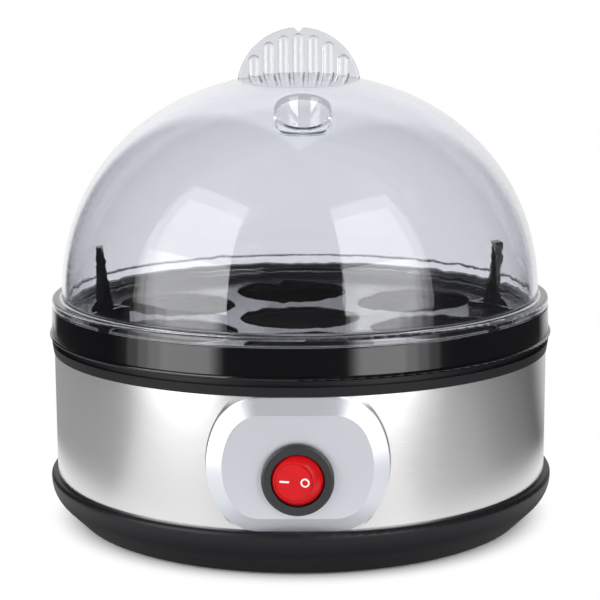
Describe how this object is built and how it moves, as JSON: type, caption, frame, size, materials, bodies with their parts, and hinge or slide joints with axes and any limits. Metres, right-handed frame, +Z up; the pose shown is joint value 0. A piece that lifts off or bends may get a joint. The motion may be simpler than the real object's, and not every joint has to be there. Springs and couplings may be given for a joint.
{
  "type": "egg cooker",
  "caption": "Round electric egg cooker: heated base with steel band, lift-out tray of egg holes with finger posts, clear domed lid with vent, and a rocker switch on the front.",
  "frame": {"origin": "centre of the round body on the surface that the feet stand on", "axes": "+Z up along the body's axis, -Y towards the front with the switch, +Y towards the cord gland"},
  "size_m": [0.1794, 0.189, 0.1723],
  "materials": {
    "clear_plastic": "clear polished plastic",
    "gloss_black": "polished black plastic",
    "satin_black": "satin black plastic",
    "brushed_steel": "fine brushing around the band",
    "silver_paint": "silver painted plastic",
    "switch_black": "matt dark grey plastic",
    "rocker_red": "bright red translucent plastic",
    "foot_rubber": "matt rubber",
    "zinc_steel": "zinc plated",
    "brass": "plain brass",
    "cast_aluminium": "satin cast aluminium",
    "silicone": "matt silicone",
    "element_steel": "dull heat-darkened steel",
    "ceramic_white": "off-white ceramic",
    "lead_sleeve": "glass-fibre sleeve",
    "lead_brown": "matt insulation",
    "lead_blue": "matt insulation"
  },
  "bodies": {
    "base": {"upper_ring": "gloss_black", "body_housing": "satin_black", "steel_band": "brushed_steel", "base_shell": "satin_black", "rubber_feet": "foot_rubber", "base_screws": "zinc_steel", "control_panel": "silver_paint", "panel_screws": "zinc_steel", "switch_body": "switch_black", "switch_terminals": "brass", "heating_plate": "cast_aluminium", "plate_gasket": "silicone", "clamp_ring": "zinc_steel", "clamp_nuts": "zinc_steel", "heating_element": "element_steel", "element_pins": "zinc_steel", "thermostat": "ceramic_white", "thermostat_bracket": "zinc_steel", "thermostat_terminals": "brass", "bracket_nuts": "zinc_steel", "thermal_fuse": "zinc_steel", "fuse_sleeve": "lead_sleeve", "fuse_clip": "zinc_steel", "cord_gland": "satin_black", "terminal_block": "ceramic_white", "terminal_inserts": "brass", "terminal_screws": "zinc_steel", "lead_supply": "lead_brown", "lead_switched": "lead_brown", "lead_heater": "lead_sleeve", "lead_fuse": "lead_sleeve", "lead_neutral": "lead_blue"},
    "tray": {"egg_tray": "gloss_black"},
    "lid": {"lid_dome": "clear_plastic"},
    "rocker": {"switch_rocker": "rocker_red"}
  },
  "joints": [
    {"name": "tray_lift", "type": "slide", "parent": "base", "child": "tray", "axis": [0, 0, 1], "range_m": [0, 0.09]},
    {"name": "lid_lift", "type": "slide", "parent": "tray", "child": "lid", "axis": [0, 0, 1], "range_m": [0, 0.12]},
    {"name": "rocker_tilt", "type": "hinge", "parent": "base", "child": "rocker", "pos_m": [0, -0.08795, 0.0351], "axis": [0, 0, 1], "range_deg": [0, 22]}
  ]
}
